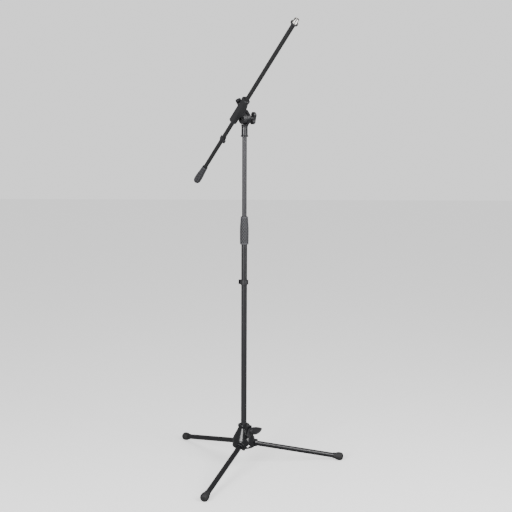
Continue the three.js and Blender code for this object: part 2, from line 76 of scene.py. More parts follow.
column = placed(COLUMN, Vector((1, 0, 0)), UP)
tilt = placed(HEAD, TILT_AXIS, UP)
boom = placed(HEAD - TILT_AXIS * BOOM_OFFSET * MM, TILT_AXIS, BOOM_AXIS)
CLAMP_PLACE = (CLAMP_POINT - boom.translation).dot(BOOM_AXIS) / MM
clamp = boom @ Matrix.Translation((0, 0, CLAMP_PLACE))
hub_clamp = placed(
    JOINTS["hub_wing_turn"]["pos_m"], JOINTS["hub_wing_turn"]["axis"], UP)


def leg_frame(number):
    """x runs out along the open leg from its hinge pin, and y along the pin."""
    joint = JOINTS[f"leg_{number}_fold"]
    pin = Vector(joint["axis"])
    out = pin.cross(UP)
    along = out * math.cos(LEG_FALL) - UP * math.sin(LEG_FALL)
    return placed(joint["pos_m"], along, along.cross(pin))


LEGS = {number: leg_frame(number) for number in (1, 2, 3)}

# ---------------------------------------------------------------- shapes


def make(points, faces):
    """A mesh object from points and faces, with its faces turned outwards."""
    mesh = bpy.data.meshes.new("shape")
    mesh.from_pydata([tuple(point) for point in points], [], faces)
    work = bmesh.new()
    work.from_mesh(mesh)
    bmesh.ops.recalc_face_normals(work, faces=work.faces)
    work.to_mesh(mesh)
    work.free()
    shape = bpy.data.objects.new("shape", mesh)
    bpy.context.scene.collection.objects.link(shape)
    return shape


def fillet(profile, radius, steps=4, closed=True):
    """The same profile with its corners rounded by short arcs."""
    points = [Vector(point) for point in profile]
    rounded = []
    for i, corner in enumerate(points):
        if not closed and i in (0, len(points) - 1):
            rounded.append(tuple(corner))
            continue
        before = points[i - 1] - corner
        after = points[(i + 1) % len(points)] - corner
        angle = before.angle(after)
        if angle > math.radians(170):
            rounded.append(tuple(corner))
            continue
        reach = min(radius / math.tan(angle / 2), 0.45 * before.length, 0.45 * after.length)
        start = corner + before.normalized() * reach
        end = corner + after.normalized() * reach
        for step in range(steps + 1):
            t = step / steps
            rounded.append(tuple(start * (1 - t) ** 2 + corner * 2 * t * (1 - t) + end * t * t))
    return rounded


def revolve(profile, segments=96, rounding=0.4, relief=None):
    """A solid of revolution about z, from a profile of (z, r) points.

    relief(angle, z, r) is added to the radius, and kept in the attribute "sunk" for the material; the rubber
    material paints shade into the hollows from it.
    """
    on_axis = profile[0][1] == 0 and profile[-1][1] == 0
    if rounding:
        profile = fillet(profile, rounding, closed=not on_axis)
    points, rows, sunk = [], [], []
    for z, r in profile:
        if r == 0:
            rows.append([len(points)] * segments)
            points.append((0, 0, z))
            sunk.append(0)
            continue
        row = []
        for s in range(segments):
            angle = 2 * math.pi * s / segments
            height = relief(angle, z, r) if relief else 0
            reach = r + height
            row.append(len(points))
            points.append((reach * math.cos(angle), reach * math.sin(angle), z))
            sunk.append(-height)
        rows.append(row)
    pairs = list(zip(rows, rows[1:]))
    if not on_axis:
        pairs.append((rows[-1], rows[0]))
    faces = []
    for low, high in pairs:
        for s in range(segments):
            n = (s + 1) % segments
            face = []
            for index in (low[s], low[n], high[n], high[s]):
                if index not in face:
                    face.append(index)
            if len(face) > 2:
                faces.append(face)
    shape = make(points, faces)
    if relief:
        shape.data.attributes.new("sunk", "FLOAT", "POINT").data.foreach_set("value", sunk)
    return shape


def ring(outer, inner, start, end, segments=96, rounding=0.4):
    return revolve([(start, inner), (start, outer), (end, outer), (end, inner)], segments, rounding)


def rod(radius, start, end, segments=96, rounding=0):
    return revolve([(start, 0), (start, radius), (end, radius), (end, 0)], segments, rounding)


def arc(x, y, radius, start, end, steps=24):
    """Points on an arc, its angles in degrees."""
    angles = [math.radians(start + (end - start) * i / steps) for i in range(steps + 1)]
    return [(x + radius * math.cos(a), y + radius * math.sin(a)) for a in angles]


def bezier(a, b, c, d, steps=16):
    a, b, c, d = (Vector(p) for p in (a, b, c, d))
    weights = [(i / steps, 1 - i / steps) for i in range(steps + 1)]
    return [tuple(a * u ** 3 + b * 3 * t * u * u + c * 3 * t * t * u + d * t ** 3)
            for t, u in weights]


def plate(outline, start, end):
    """A flat plate of the outline, from one height to another."""
    count = len(outline)
    points = [(x, y, start) for x, y in outline] + [(x, y, end) for x, y in outline]
    sides = [(i, (i + 1) % count, count + (i + 1) % count, count + i) for i in range(count)]
    return make(points, [tuple(range(count)), tuple(range(count, 2 * count)), *sides])


def box(x0, x1, y0, y1, z0, z1):
    return plate([(x0, y0), (x1, y0), (x1, y1), (x0, y1)], z0, z1)


def rounded_box(x0, x1, y0, y1, radius):
    """The outline of a rectangle with round corners."""
    return (arc(x1 - radius, y1 - radius, radius, 0, 90, 8)
            + arc(x0 + radius, y1 - radius, radius, 90, 180, 8)
            + arc(x0 + radius, y0 + radius, radius, 180, 270, 8)
            + arc(x1 - radius, y0 + radius, radius, 270, 360, 8))


def doorway(radius, depth):
    """A round-topped outline whose straight sides reach down to depth."""
    return [(-radius, -depth), (radius, -depth)] + arc(0, 0, radius, 0, 180, 32)


def moved(shape, matrix):
    shape.data.transform(matrix)
    return shape


# A shape made along z, turned to lie along x or y.
ALONG_X = Matrix(((0, 0, 1), (1, 0, 0), (0, 1, 0))).to_4x4()
ALONG_Y = Matrix(((0, 1, 0), (0, 0, 1), (1, 0, 0))).to_4x4()


def along_x(shape):
    return moved(shape, ALONG_X)


def along_y(shape):
    return moved(shape, ALONG_Y)


def turned(shape, degrees, axis="Z"):
    return moved(shape, Matrix.Rotation(math.radians(degrees), 4, axis))


def shifted(shape, x=0, y=0, z=0):
    return moved(shape, Matrix.Translation((x, y, z)))


def apply_modifiers(shape):
    graph = bpy.context.evaluated_depsgraph_get()
    mesh = bpy.data.meshes.new_from_object(shape.evaluated_get(graph))
    shape.modifiers.clear()
    shape.data = mesh
    return shape


def combine(shape, others, operation):
    for other in others:
        modifier = shape.modifiers.new("combine", "BOOLEAN")
        modifier.operation = operation
        modifier.solver = "MANIFOLD"
        modifier.object = other
    apply_modifiers(shape)
    for other in others:
        bpy.data.objects.remove(other)
    return shape


def join(shape, *others):
    return combine(shape, others, "UNION")


def cut(shape, *others):
    return combine(shape, others, "DIFFERENCE")


def common(shape, *others):
    return combine(shape, others, "INTERSECT")


def moulded(shape, voxel, rounds=6):
    """The shape as one skin with its edges softened, as a moulding or a casting has them."""
    remesh = shape.modifiers.new("skin", "REMESH")
    remesh.mode = "VOXEL"
    remesh.voxel_size = voxel
    soften = shape.modifiers.new("soften", "SMOOTH")
    soften.factor = 0.5
    soften.iterations = rounds
    return main_piece(apply_modifiers(shape))


def main_piece(shape):
    """Only the largest connected skin of the shape."""
    work = bmesh.new()
    work.from_mesh(shape.data)
    unseen = set(work.verts)
    skins = []
    while unseen:
        skin, edge = set(), [unseen.pop()]
        while edge:
            vertex = edge.pop()
            skin.add(vertex)
            near = [e.other_vert(vertex) for e in vertex.link_edges]
            fresh = [v for v in near if v in unseen]
            unseen.difference_update(fresh)
            edge.extend(fresh)
        skins.append(skin)
    largest = max(skins, key=len)
    loose = [v for skin in skins if skin is not largest for v in skin]
    bmesh.ops.delete(work, geom=loose, context="VERTS")
    work.to_mesh(shape.data)
    work.free()
    return shape


# ---------------------------------------------------------------- materials


class Nodes:
    """A small helper for building one material's node tree."""

    def __init__(self, name):
        self.material = bpy.data.materials.new(name)
        self.material.use_nodes = True
        self.tree = self.material.node_tree
        self.shader = self.tree.nodes["Principled BSDF"]
        self.place = self.add("ShaderNodeTexCoord").outputs["Object"]

    def add(self, kind, **values):
        node = self.tree.nodes.new(kind)
        for key, value in values.items():
            setattr(node, key, value)
        return node

    def link(self, output, target):
        self.tree.links.new(output, target)

    def stretched(self, scale):
        """Object coordinates, scaled by a different amount along each axis."""
        mapping = self.add("ShaderNodeMapping")
        mapping.inputs["Scale"].default_value = scale
        self.link(self.place, mapping.inputs["Vector"])
        return mapping.outputs["Vector"]

    def noise(self, scale, detail=3, roughness=0.55, vector=None):
        node = self.add("ShaderNodeTexNoise")
        node.inputs["Scale"].default_value = scale
        node.inputs["Detail"].default_value = detail
        node.inputs["Roughness"].default_value = roughness
        self.link(vector or self.place, node.inputs["Vector"])
        return node.outputs["Fac"]

    def spots(self, scale, vector=None):
        node = self.add("ShaderNodeTexVoronoi", feature="F1")
        node.inputs["Scale"].default_value = scale
        self.link(vector or self.place, node.inputs["Vector"])
        return node.outputs["Distance"]

    def between(self, value, low, high, to_low, to_high):
        node = self.add("ShaderNodeMapRange")
        node.inputs["From Min"].default_value = low
        node.inputs["From Max"].default_value = high
        node.inputs["To Min"].default_value = to_low
        node.inputs["To Max"].default_value = to_high
        self.link(value, node.inputs["Value"])
        return node.outputs["Result"]

    def ramp(self, value, stops):
        node = self.add("ShaderNodeValToRGB")
        ramp = node.color_ramp
        for i, (place, tone) in enumerate(stops):
            stop = ramp.elements[i] if i < 2 else ramp.elements.new(place)
            stop.position = place
            stop.color = (*tone, 1) if isinstance(tone, tuple) else (tone, tone, tone, 1)
        self.link(value, node.inputs["Fac"])
        return node.outputs["Color"]

    def mix(self, factor, a, b):
        """Two colours mixed by factor; either may be an output or a plain colour."""
        node = self.add("ShaderNodeMix", data_type="RGBA")
        self.link(factor, node.inputs["Factor"])
        for name, value in (("A", a), ("B", b)):
            socket = [s for s in node.inputs if s.name == name and s.type == "RGBA"][0]
            if isinstance(value, tuple):
                socket.default_value = (*value, 1)
            else:
                self.link(value, socket)
        return [s for s in node.outputs if s.type == "RGBA"][0]

    def math(self, operation, a, b):
        node = self.add("ShaderNodeMath", operation=operation)
        for socket, value in zip(node.inputs, (a, b)):
            if isinstance(value, (int, float)):
                socket.default_value = value
            else:
                self.link(value, socket)
        return node.outputs["Value"]

    def bump(self, height, strength, distance, under=None):
        node = self.add("ShaderNodeBump")
        node.inputs["Strength"].default_value = strength
        node.inputs["Distance"].default_value = distance
        self.link(height, node.inputs["Height"])
        if under:
            self.link(under, node.inputs["Normal"])
        return node.outputs["Normal"]

    def finish(self, color, roughness, normal, metallic=0.0, specular=0.5, **sockets):
        shader = self.shader
        shader.inputs["Metallic"].default_value = metallic
        shader.inputs["Specular IOR Level"].default_value = specular
        for name, value in sockets.items():
            shader.inputs[name.replace("_", " ")].default_value = value
        self.link(color, shader.inputs["Base Color"])
        self.link(roughness, shader.inputs["Roughness"])
        self.link(normal, shader.inputs["Normal"])
        return self.material


def moulded_plastic(name, tone, gloss, grain=2500, grain_height=0.00001):
    """Black moulded nylon: a fine spark-eroded grain, faint flow marks and rubbed scuffs."""
    n = Nodes(name)
    flow = n.noise(22, 2)
    scuffs = n.between(n.noise(70, 6, 0.75), 0.6, 0.72, 0, 1)
    fine = n.noise(grain, 2)
    lighter = tuple(min(1, c * 1.7 + 0.012) for c in tone)
    color = n.mix(n.between(flow, 0.3, 0.7, 0, 0.6), tone, tuple(c * 1.35 for c in tone))
    color = n.mix(n.math("MULTIPLY", scuffs, 0.35), color, lighter)
    rough = n.math("ADD", n.between(flow, 0.3, 0.7, gloss - 0.03, gloss + 0.05),
                   n.math("MULTIPLY", scuffs, 0.14))
    return n.finish(color, rough, n.bump(fine, 0.35, grain_height))


UPRIGHT_LINES = (260, 260, 6)  # drawn out along z, for the column's tubes
EVEN_LINES = (60, 60, 60)  # for tubes that lie at a slant


def painted_tube(name, tone, gloss, lines_scale=UPRIGHT_LINES, metallic=0.0, flake_glints=0.0):
    """Powder coat on steel tube: orange peel, faint wipe lines along it and small rub marks, with, when asked,
    small bright specks painted into the colour as painted glints of metallic flake.
    """
    n = Nodes(name)
    lines = n.noise(1, 2, 0.5, n.stretched(lines_scale))
    rubs = n.between(n.noise(55, 5, 0.7), 0.6, 0.74, 0, 1)
    skin = n.noise(500, 2, 0.5)
    lighter = tuple(min(1, c * 1.5 + 0.02) for c in tone)
    color = n.mix(n.between(lines, 0.35, 0.65, 0, 0.5), tone, tuple(c * 1.22 for c in tone))
    color = n.mix(n.math("MULTIPLY", rubs, 0.2), color, lighter)
    # Painted glints: tiny bright specks painted into the colour, standing in for the sparkle of metallic flake in
    # the coat.
    if flake_glints:
        glints = n.between(n.spots(3500), 0.0, 0.12, flake_glints, 0)
        color = n.mix(glints, color, tuple(min(1, c * 3) for c in tone))
    rough = n.math("ADD", n.between(lines, 0.35, 0.65, gloss - 0.02, gloss + 0.025),
                   n.math("MULTIPLY", rubs, 0.06))
    return n.finish(color, rough, n.bump(skin, 0.25, 0.000015), metallic=metallic)


def rubber(name, tone, dust=0.25, hollow=1.0):
    """Dull rubber with a fine tooth and paler dust on what stands proud; its hollows are painted darker as painted
    shade, which leaves the raised lines looking lit.
    """
    n = Nodes(name)
    tooth = n.noise(1800, 3, 0.7)
    patches = n.noise(60, 4, 0.6)
    pale = tuple(c * 1.8 + 0.02 for c in tone)
    color = n.mix(n.between(patches, 0.42, 0.75, 0, dust), tone, pale)
    color = n.mix(n.between(n.noise(650, 3, 0.7), 0.55, 0.8, 0, 0.3), color, pale)
    depth = n.add("ShaderNodeAttribute", attribute_name="sunk").outputs["Fac"]
    # Painted shade: sunk places darken towards the tone times hollow, standing in for shade in the hollows between
    # the raised lines.
    color = n.mix(n.between(depth, 0.1, 0.6, 0, 1), color, tuple(c * hollow for c in tone))
    rough = n.between(patches, 0.3, 0.7, 0.62, 0.8)
    return n.finish(color, rough, n.bump(tooth, 0.5, 0.00003), specular=0.4)


def plated_metal(name, tone, gloss):
    """Bare or plated metal with its turning marks and a little dulling."""
    n = Nodes(name)
    marks = n.noise(1, 2, 0.6, n.stretched((400, 400, 4000)))
    stain = n.noise(120, 4, 0.6)
    dark = tuple(c * 0.72 for c in tone)
    color = n.mix(n.between(marks, 0.3, 0.7, 0, 0.35), tone, dark)
    color = n.mix(n.between(stain, 0.5, 0.8, 0, 0.35), color, dark)
    rough = n.math("ADD", n.between(marks, 0.3, 0.7, gloss, gloss + 0.1),
                   n.between(stain, 0.5, 0.8, 0, 0.15))
    return n.finish(color, rough, n.bump(marks, 0.2, 0.00003), metallic=1.0)


MATERIALS = {
    "gloss_hub": moulded_plastic("gloss_hub", (0.010, 0.0105, 0.012), 0.2, 1400, 0.000006),
    "gloss_head": moulded_plastic("gloss_head", (0.012, 0.012, 0.014), 0.26, 900, 0.000008),
    "satin_moulding": moulded_plastic("satin_moulding", (0.019, 0.019, 0.021), 0.42),
    "inner_nylon": moulded_plastic("inner_nylon", (0.022, 0.022, 0.023), 0.5),
    "leg_paint": painted_tube("leg_paint", (0.010, 0.010, 0.0115), 0.33, EVEN_LINES),
    "boom_paint": painted_tube("boom_paint", (0.018, 0.018, 0.019), 0.42, EVEN_LINES),
    "column_paint": painted_tube("column_paint", (0.020, 0.020, 0.022), 0.3, flake_glints=0.02),
    "grey_tube": painted_tube("grey_tube", (0.040, 0.039, 0.043), 0.42, metallic=0.2, flake_glints=0.02),
    # The grip's sunk diamonds get painted shade, nearly black, so its raised lines read as lit.
    "grip_rubber": rubber("grip_rubber", (0.068, 0.068, 0.075), hollow=0.12),
    "foot_rubber": rubber("foot_rubber", (0.018, 0.018, 0.019), 0.35),
    "zinc_steel": plated_metal("zinc_steel", (0.6, 0.6, 0.61), 0.3),
    "bright_thread": plated_metal("bright_thread", (0.78, 0.76, 0.73), 0.16),
    "insert_brass": plated_metal("insert_brass", (0.72, 0.54, 0.28), 0.28),
}

NODE_SLOT = {part["node"]: part["material_slot"] for part in frame["record"]["subparts"]}
NODE_BODY = {node: body for body, nodes in frame["record"]["behaviour"]["bodies"].items()
             for node in nodes}


def show(shape, where, node, weighted=False):
    """Put a finished shape in its place, as the piece that stands for a CAD node."""
    shape.data.transform(where)
    shape.name = node + "_fine"
    shape.data.name = shape.name
    shape.data.shade_smooth()
    if weighted:
        normals = shape.modifiers.new("normals", "WEIGHTED_NORMAL")
        normals.weight = 100
        apply_modifiers(shape)
    shape.data.materials.clear()
    shape.data.materials.append(MATERIALS[NODE_SLOT[node]])
    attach(shape, NODE_BODY[node])
    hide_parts(node)
    return shape


# ---------------------------------------------------------------- camera, floor and light

CAMERA_DISTANCE = 3.5
CAMERA_HEIGHT = 1.31
CAMERA_YAW = math.radians(0.66)
CAMERA_PITCH = math.radians(9.1)
CAMERA_ROLL = math.radians(0.26)
CAMERA_LENS = 72.8


def add_camera():
    data = bpy.data.cameras.new("camera")
    data.lens = CAMERA_LENS
    data.sensor_width = 36
    camera = bpy.data.objects.new("camera", data)
    camera.matrix_world = (
        Matrix.Translation(COLUMN + Vector((0, -CAMERA_DISTANCE, CAMERA_HEIGHT)))
        @ Matrix.Rotation(-CAMERA_YAW, 4, "Z")
        @ Matrix.Rotation(math.pi / 2 - CAMERA_PITCH, 4, "X")
        @ Matrix.Rotation(CAMERA_ROLL, 4, "Z"))
    bpy.context.scene.collection.objects.link(camera)
    bpy.context.scene.camera = camera


def add_softbox(name, place, aim, width, height, power):
    data = bpy.data.lights.new(name, "AREA")
    data.shape = "RECTANGLE"
    data.size = width
    data.size_y = height
    data.energy = power
    light = bpy.data.objects.new(name, data)
    light.location = COLUMN + Vector(place)
    direction = COLUMN + Vector(aim) - light.location
    light.rotation_euler = direction.to_track_quat("-Z", "Y").to_euler()
    bpy.context.scene.collection.objects.link(light)


BACKDROP = 1.25  # brightness of the backdrop, to the camera only
AMBIENT = 0.3  # brightness of the room that lights the stand
FLOOR_GLOW = BACKDROP - 0.42  # the softboxes add the rest, so the floor meets the backdrop
FLOOR_REACH = 9
SOFTBOXES = {  # place, aim, width, height and power
    "key_softbox": ((-1.5, -2.6, 1.5), (0, 0, 0.8), 1.2, 1.8, 120),
    "fill_softbox": ((1.9, -1.9, 1.3), (0, 0, 0.8), 0.35, 1.8, 24),
    "low_softbox": ((1.35, -1.25, 1.75), (0.2, 0, 0.05), 1.1, 1.5, 40),
}


def add_stage():
    reach = FLOOR_REACH
    floor = plate([(-reach, -reach), (reach, -reach), (reach, reach), (-reach, reach)], -0.02, 0)
    floor.name = "floor"
    n = Nodes("floor")
    tone = n.mix(n.noise(3, 2), (0.92, 0.92, 0.92), (0.9, 0.9, 0.9))
    floor.data.materials.append(n.finish(
        tone, n.between(n.noise(40), 0.3, 0.7, 0.6, 0.7), n.bump(n.noise(300), 0.05, 0.0002),
        Emission_Color=(1, 1, 1, 1), Emission_Strength=FLOOR_GLOW))
    floor.visible_glossy = False
    floor.visible_diffuse = False

    world = bpy.data.worlds.new("studio")
    world.use_nodes = True
    nodes, links = world.node_tree.nodes, world.node_tree.links
    strength = nodes.new("ShaderNodeMapRange")
    strength.inputs["To Min"].default_value = AMBIENT
    strength.inputs["To Max"].default_value = BACKDROP
    links.new(nodes.new("ShaderNodeLightPath").outputs["Is Camera Ray"], strength.inputs["Value"])
    links.new(strength.outputs["Result"], nodes["Background"].inputs["Strength"])
    nodes["Background"].inputs["Color"].default_value = (1, 1, 1, 1)
    bpy.context.scene.world = world

    for name, settings in SOFTBOXES.items():
        add_softbox(name, *settings)


# ---------------------------------------------------------------- base hub

LEG_ANGLES = [0, 120, 240]
LEG_PIVOT_OUT = 27
LEG_PIVOT_HEIGHT = 83.3
HUB_BOTTOM = 72
HUB_TOP = 152
HUB_CLAMP_ANGLE = -60  # from the first leg
HUB_CLAMP_HEIGHT = 135

first_leg = Vector(JOINTS["leg_1_fold"]["axis"]).cross(UP)
base = placed(COLUMN, first_leg, UP)


def at_leg(shape, angle):
    """From an open leg's frame to the base's frame."""
    moved(shape, Matrix.Rotation(LEG_FALL, 4, "Y"))
    return turned(shifted(shape, x=LEG_PIVOT_OUT, z=LEG_PIVOT_HEIGHT), angle)


def at_hub_clamp(shape):
    return turned(shifted(shape, z=HUB_CLAMP_HEIGHT), HUB_CLAMP_ANGLE)


def hub_housing():
    body = revolve([
        (HUB_BOTTOM, 0), (HUB_BOTTOM, 39.2), (HUB_BOTTOM + 1.5, 40), (88, 39.8), (95, 39.4),
        (101, 38.4), (106, 36.4), (139, 19.4), (142, 18.9), (143.5, 20.5),
        (HUB_TOP - 1, 20.5), (HUB_TOP, 19.5), (HUB_TOP, 0),
    ], 144, rounding=2)
    arches = [
        cut(at_leg(along_x(plate(doorway(14.5, 20), 2, 21)), angle),
            box(-100, 100, -100, 100, 0, HUB_BOTTOM))
        for angle in LEG_ANGLES]
    body = moulded(join(body, *arches), 1.0, 14)
    boss = at_hub_clamp(along_x(plate(rounded_box(-10.4, 10.4, -17, 17.3, 1.5), 4, 32.4)))
    body = join(body, boss)

    hollow = revolve([(50, 15.6), (50, 36.2), (95, 36.2), (104, 33), (107, 30), (107, 15.6)],
                     96, rounding=0)
    cheeks = [turned(box(10, 60, -12.7, 12.7, 77, 120), angle) for angle in LEG_ANGLES]
    hollow = cut(hollow, *cheeks)
    slots = [at_leg(along_x(plate(doorway(9.2, 60), -9.5, 60)), angle) for angle in LEG_ANGLES]
    knuckle_seats = [at_leg(along_y(rod(8.9, -9.2, 9.2, 64)), angle) for angle in LEG_ANGLES]
    pins = [at_leg(along_y(rod(3.3, -14, 14, 32)), angle) for angle in LEG_ANGLES]
    windows = [at_leg(along_y(rod(5.5, 12.7, 60, 48)), angle) for angle in LEG_ANGLES]
    bore = rod(12.4, 55, 200, 96)
    seat = at_hub_clamp(along_x(rod(6.8, 5, 60, 48)))
    return cut(body, hollow, *slots, *knuckle_seats, *pins, *windows, bore, seat)


def hub_wing():
    """A butterfly handle: two leaves with a raised rim on a round core."""
    edge = (bezier((0, -11), (14, -19), (33, -15), (41, 3))
            + bezier((41, 3), (30, 11), (16, 14), (0, 12))[1:])
    middle = Vector((19, -1))
    inner = [tuple(middle + (Vector(p) - middle) * 0.78) for p in edge]
    inner = [p for p in inner if p[0] > 6]
    leaves = []
    for splay in (55, -55):
        direction = Matrix.Rotation(math.radians(splay), 4, "Z") @ Vector((1, 0, 0))
        across = direction.cross(Vector((0, 0, 1)))
        turn = Matrix((direction, (0, 0, 1), across)).transposed().to_4x4()
        leaf = plate(edge, -2.8, 2.8)
        leaf = cut(leaf, plate(inner, 1.9, 5), plate(inner, -5, -1.9))
        leaves.append(shifted(moved(leaf, turn), x=38))
    core = along_x(revolve([(33.5, 0), (33.5, 8), (44, 8), (47, 5.5), (47, 0)], 64, 0.8))
    handle = join(core, *leaves)
    return cut(handle, along_x(rod(4.3, 30, 43, 48)))


WING_ROLL = Matrix.Rotation(math.radians(11), 4, "X")


def build_hub():
    show(moulded(hub_housing(), 0.5, 3), base, "hub_housing")
    bush = ring(12.1, 10.3, 76, HUB_TOP - 0.6)
    show(cut(bush, at_hub_clamp(along_x(rod(6, 5, 60, 48)))), base, "hub_liner_bush", True)
    show(along_x(ring(6.5, 4.3, 20, 31.6, 64)), hub_clamp, "hub_clamp_insert", True)
    show(along_x(rod(4, 16.3, 42.5, 64, 0.6)), hub_clamp, "hub_wing_screw", True)
    show(moulded(hub_wing(), 0.4, 4), hub_clamp @ WING_ROLL, "hub_wing_handle")


# ---------------------------------------------------------------- legs

LEG_REACH = 341
FOOT_RIBS = 7


def leg_knuckle():
    drum = along_y(rod(8.4, -10, 10, 64))
    head = join(drum, box(0, 9, -10, 10, -8.7, 8.7))
    head = common(head, along_x(rod(8.7, -9, 9, 64)))
    head = cut(head, along_y(rod(3.3, -11, 11, 48)))
    return join(head, along_x(rod(7.2, 8, 38, 64)))


def foot_ribs(angle, x, r):
    """Shallow grooves round the foot's swollen end, and fine flutes along its neck."""
    start = LEG_REACH - 24
    if r < 9.2 or x < LEG_REACH - 36:
        return 0
    if x > start:
        return -0.45 * max(0, math.cos((x - start) / 19 * FOOT_RIBS * 2 * math.pi)) ** 6
    return -0.25 * max(0, math.cos(angle * 24)) ** 4


def foot(where):
    """A rubber cup on the leg's end, flattened where it stands on the floor."""
    tip, bore = LEG_REACH, 9
    outside = [(tip - 36, 10.4), (tip - 30, 10.6), (tip - 26, 11.6), (tip - 21, 13.6),
               (tip - 15, 14.4), (tip - 8.5, 14.3), (tip - 3.5, 12.4), (tip - 0.8, 9), (tip, 5.5)]
    skin = smooth_rows(outside, 0.4)
    profile = [(tip - 36, bore), *skin, (tip, 0), (333.3, 0), (333.3, bore)]
    shape = along_x(revolve(profile, 144, 0, foot_ribs))
    for vertex in shape.data.vertices:
        place = where @ vertex.co
        if place.z < 0:
            place.z = 0
            vertex.co = where.inverted() @ place
    return shape


def smooth_rows(points, step):
    """A smooth curve through the (t, r) points, in rows about a step apart."""
    rows = []
    count = len(points)
    for i in range(count - 1):
        a, b = Vector(points[max(i - 1, 0)]), Vector(points[i])
        c, d = Vector(points[i + 1]), Vector(points[min(i + 2, count - 1)])
        steps = max(1, round((c - b).length / step))
        for s in range(steps):
            t = s / steps
            rows.append(tuple(0.5 * (
                2 * b + (c - a) * t + (2 * a - 5 * b + 4 * c - d) * t * t
                + (3 * b - a - 3 * c + d) * t ** 3)))
    rows.append(tuple(points[-1]))
    return rows


def build_legs():
    for number, where in LEGS.items():
        show(along_y(rod(3, -12.6, 12.6, 64, 0.4)), where, f"leg_pin_{number}", True)
        show(moulded(leg_knuckle(), 0.4, 3), where, f"leg_knuckle_{number}")
        show(along_x(ring(8.7, 7.5, 9.3, 333, 128)), where, f"leg_tube_{number}", True)
        show(foot(where), where, f"foot_{number}")


# ---------------------------------------------------------------- column

GRIP_FROM, GRIP_TO = 790, 885


def cable_clip(tube_radius, start, length):
    """A snap-on ring, split on one side, with an open hook for a cable on the other."""
    end = start + length
    inner = tube_radius + GAP
    outer = inner + 2.1
    hook = outer + 3.0
    lips = [shifted(turned(box(-2.6, 1, -1, 1, start, end), side * 20), x=-inner - 0.6, y=side * 5)
            for side in (-1, 1)]
    band = join(rod(outer, start, end), shifted(rod(4.9, start, end, 64), x=hook), *lips)
    return cut(
        band,
        rod(inner, start - 1, end + 1),
        shifted(rod(3.2, start - 1, end + 1, 64), x=hook),
        box(hook - 2.2, hook + 2.2, 0, 20, start - 1, end + 1),
        box(-tube_radius - 20, 0, -4, 4, start - 1, end + 1))


def lattice(turns, pitch, depth, start, end, least):
    """Relief for a grip: narrow raised lines that cross, round diamonds sunk between them."""
    def relief(angle, t, r):
        if r < least or not start < t < end:
            return 0
        around = angle / (2 * math.pi) * turns
        near = min(abs((around + s * t / pitch + 0.5) % 1 - 0.5) for s in (-1, 1))
        edge = min(1, max(0, (near - 0.12) / 0.12))
        fade = min(1, (t - start) / 1.5, (end - t) / 1.5)
        return -depth * fade * edge * edge * (3 - 2 * edge)
    return relief


def clutch_grip():
    outside = smooth_rows([
        (GRIP_FROM, 14.2), (GRIP_FROM + 3, 14.7), (GRIP_FROM + 22, 15), (GRIP_FROM + 45, 15.2),
        (GRIP_FROM + 62, 14.7), (GRIP_FROM + 78, 13.5), (GRIP_TO - 2, 12.5), (GRIP_TO, 12)], 0.5)
    profile = [(GRIP_FROM, 12.9), *outside, (GRIP_TO, 11), (872, 11), (852, 12.9)]
    return revolve(profile, 216, 0, lattice(11, 11, 0.8, GRIP_FROM + 4, GRIP_TO - 4, 11.9))


DIMPLE_HEIGHT = 1146
DIMPLE_ANGLE = math.radians(-88)


def dimple(angle, z, r):
    """The small crimp near the top of the upper tube, on the side away from the boom's tip."""
    if r < 7.5 or abs(z - DIMPLE_HEIGHT) > 4:
        return 0
    around = r * ((angle - DIMPLE_ANGLE + math.pi) % (2 * math.pi) - math.pi)
    return -1.1 * math.exp(-((z - DIMPLE_HEIGHT) ** 2 + around ** 2) / 2.4)


def upper_tube():
    rows = [(DIMPLE_HEIGHT - 5 + i * 0.5, 8) for i in range(21)]
    profile = fillet([(446, 7), (446, 8), (1186, 8), (1186, 7)], 0.4)
    bottom = [p for p in profile if p[0] < 800]
    top = [p for p in profile if p[0] > 800]
    outside = [p for p in bottom if p[1] > 7.4]
    inside = [p for p in bottom if p[1] <= 7.4]
    return revolve(inside + outside + rows + top, 192, 0, dimple)


def build_column():
    show(ring(10, 8.8, 64, 812, 144), column, "lower_tube", True)
    show(revolve([(54.5, 0), (54.5, 3.8), (56, 5), (61.7, 5), (61.7, 11.5), (63.7, 11.5), (63.7, 8.5),
                  (82, 8.5), (82, 0)], 96, 0.4), column, "column_end_plug", True)
    clip_side = Matrix.Rotation(math.radians(160), 4, "Z")
    show(moulded(cable_clip(10, 650, 16), 0.3, 4), column @ clip_side, "column_cable_clip")
    show(revolve([
        (791, 10.3), (791, 12.6), (852, 12.6), (871, 10.7), (884, 10.7), (884, 8.4), (869, 8.4),
        (869, 9.8), (850, 10.9), (844, 11.1), (812.3, 11.1), (810, 10.3)], 96, 0.5),
        column, "clutch_nut", True)
    show(clutch_grip(), column, "clutch_grip")
    show(upper_tube(), column, "upper_tube")


# ---------------------------------------------------------------- head

TILT_RADIUS = 19
YOKE_FACE, YOKE_BACK = 1.9, 13.5
HEAD_Z = HEAD.z / MM


